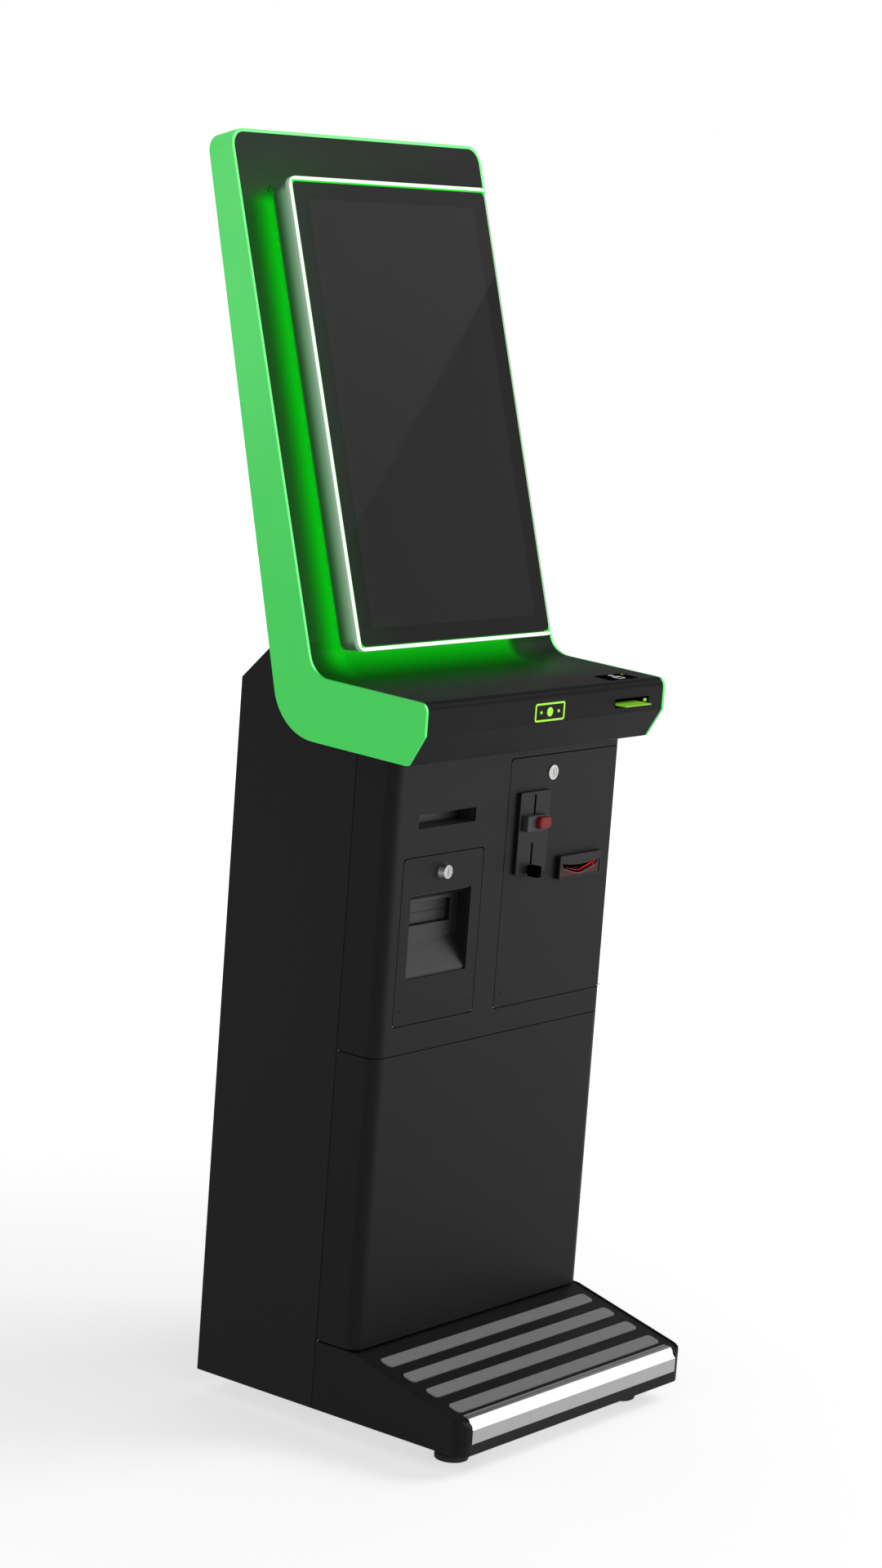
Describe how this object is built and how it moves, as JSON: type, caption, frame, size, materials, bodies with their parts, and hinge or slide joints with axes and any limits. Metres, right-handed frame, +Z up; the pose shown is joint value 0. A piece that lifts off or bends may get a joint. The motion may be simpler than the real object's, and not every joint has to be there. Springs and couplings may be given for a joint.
{
  "type": "self-service cash terminal",
  "caption": "Floor-standing self-service cash and card terminal with a tilted portrait touch screen, green light-up surround, locking service doors and an anti-slip step.",
  "frame": {"origin": "on the floor under the centre of the object's bounding box", "axes": "+Z up, the user stands on the -Y side, +X to the user's right when facing the screen"},
  "size_m": [0.553, 0.5968, 1.7817],
  "materials": {
    "charcoal_coat": "fine-textured charcoal powder coat",
    "fascia_coat": "satin charcoal coat",
    "green_acrylic": "frosted green light-guide acrylic",
    "white_light": "lit white diffuser",
    "green_light": "green light strip",
    "frosted_diffuser": "frosted diffuser",
    "cover_glass": "black-printed cover glass",
    "display": "dark display",
    "black_plastic": "fine-grained black moulding",
    "slate_plastic": "slate moulding",
    "lime_plastic": "lime moulding",
    "red_plastic": "red moulding",
    "red_lens": "translucent red lens",
    "nickel": "satin nickel",
    "nosing_metal": "brushed anodised extrusion",
    "grip_grit": "gritty anti-slip strip",
    "foot_rubber": "black rubber",
    "zinc_steel": "zinc-plated steel",
    "module_steel": "grey painted steel",
    "module_plastic": "dark grey moulding",
    "paper": "thermal paper"
  },
  "bodies": {
    "cabinet": {"antislip_strips": "grip_grit", "back_panel": "charcoal_coat", "base_plate": "zinc_steel", "cabinet_top_plate": "zinc_steel", "card_guide_lip": "lime_plastic", "card_lamp": "lime_plastic", "card_reader": "module_plastic", "card_slot_bezel": "black_plastic", "coin_box": "module_steel", "computer": "module_steel", "contactless_reader": "black_plastic", "display_panel": "display", "emblem": "lime_plastic", "equipment_shelf": "zinc_steel", "head_back_cover": "charcoal_coat", "head_mount_bolts": "zinc_steel", "head_side_frames": "zinc_steel", "hinge_pins": "zinc_steel", "left_light_panel": "green_acrylic", "left_side_panel": "charcoal_coat", "levelling_feet": "foot_rubber", "light_strips": "green_light", "note_dispenser": "module_steel", "power_inlet": "black_plastic", "power_supply": "module_steel", "receipt_printer": "module_plastic", "right_light_panel": "green_acrylic", "right_side_panel": "charcoal_coat", "screen_glass": "cover_glass", "screen_housing": "frosted_diffuser", "screen_light_frame": "white_light", "shelf_fascia": "fascia_coat", "step_nosing": "nosing_metal", "step_skirt": "charcoal_coat", "top_light_panel": "green_acrylic", "tread_plate": "charcoal_coat", "upper_front_panel": "charcoal_coat", "upright_fascia": "fascia_coat"},
    "payout_door": {"payout_door": "charcoal_coat", "payout_pocket": "black_plastic", "payout_lock_body": "nickel"},
    "payout_shutter": {"payout_shutter": "black_plastic"},
    "payout_lock": {"payout_lock_barrel": "nickel"},
    "cash_in_door": {"cash_in_door": "charcoal_coat", "cash_in_lock_body": "nickel", "coin_plate": "black_plastic", "coin_entry_block": "slate_plastic", "coin_return_cup": "black_plastic", "coin_acceptor": "module_plastic", "note_bezel": "black_plastic", "note_lens": "red_lens", "note_acceptor": "module_plastic"},
    "cash_in_lock": {"cash_in_lock_barrel": "nickel"},
    "reject_button": {"reject_button": "red_plastic"},
    "lower_door": {"lower_front_door": "charcoal_coat"},
    "rear_door": {"rear_service_door": "charcoal_coat", "rear_lock_body": "nickel"},
    "rear_lock": {"rear_lock_barrel": "nickel"},
    "paper_roll": {"paper_roll": "paper"}
  },
  "joints": [
    {"name": "payout_door_hinge", "type": "hinge", "parent": "cabinet", "child": "payout_door", "pos_m": [-0.1411, -0.0985, 0.5875], "axis": [1, 0, 0], "range_deg": [0, 90]},
    {"name": "cash_in_door_hinge", "type": "hinge", "parent": "cabinet", "child": "cash_in_door", "pos_m": [0.1223, -0.0985, 0.5845], "axis": [1, 0, 0], "range_deg": [0, 90]},
    {"name": "payout_shutter_hinge", "type": "hinge", "parent": "payout_door", "child": "payout_shutter", "pos_m": [-0.141, -0.0675, 0.7475], "axis": [-1, 0, 0], "range_deg": [0, 50]},
    {"name": "payout_lock_turn", "type": "hinge", "parent": "payout_door", "child": "payout_lock", "pos_m": [-0.1412, -0.1, 0.7963], "axis": [0, -1, 0], "range_deg": [0, 90]},
    {"name": "cash_in_lock_turn", "type": "hinge", "parent": "cash_in_door", "child": "cash_in_lock", "pos_m": [0.0959, -0.1, 0.9148], "axis": [0, -1, 0], "range_deg": [0, 90]},
    {"name": "reject_button_press", "type": "slide", "parent": "cash_in_door", "child": "reject_button", "axis": [0, 1, 0], "range_m": [0, 0.0035], "stiffness_N_per_m": 600},
    {"name": "lower_door_hinge", "type": "hinge", "parent": "cabinet", "child": "lower_door", "pos_m": [-0.2595, -0.0327, 0.337], "axis": [0, 0, -1], "range_deg": [0, 100]},
    {"name": "rear_door_hinge", "type": "hinge", "parent": "cabinet", "child": "rear_door", "pos_m": [0.2125, 0.1835, 0.495], "axis": [0, 0, -1], "range_deg": [0, 95]},
    {"name": "rear_lock_turn", "type": "hinge", "parent": "rear_door", "child": "rear_lock", "pos_m": [-0.192, 0.185, 0.5], "axis": [0, -1, 0], "range_deg": [0, 90]},
    {"name": "paper_roll_spin", "type": "hinge", "parent": "cabinet", "child": "paper_roll", "pos_m": [-0.14025, 0.108, 0.9], "axis": [1, 0, 0], "continuous": true}
  ]
}
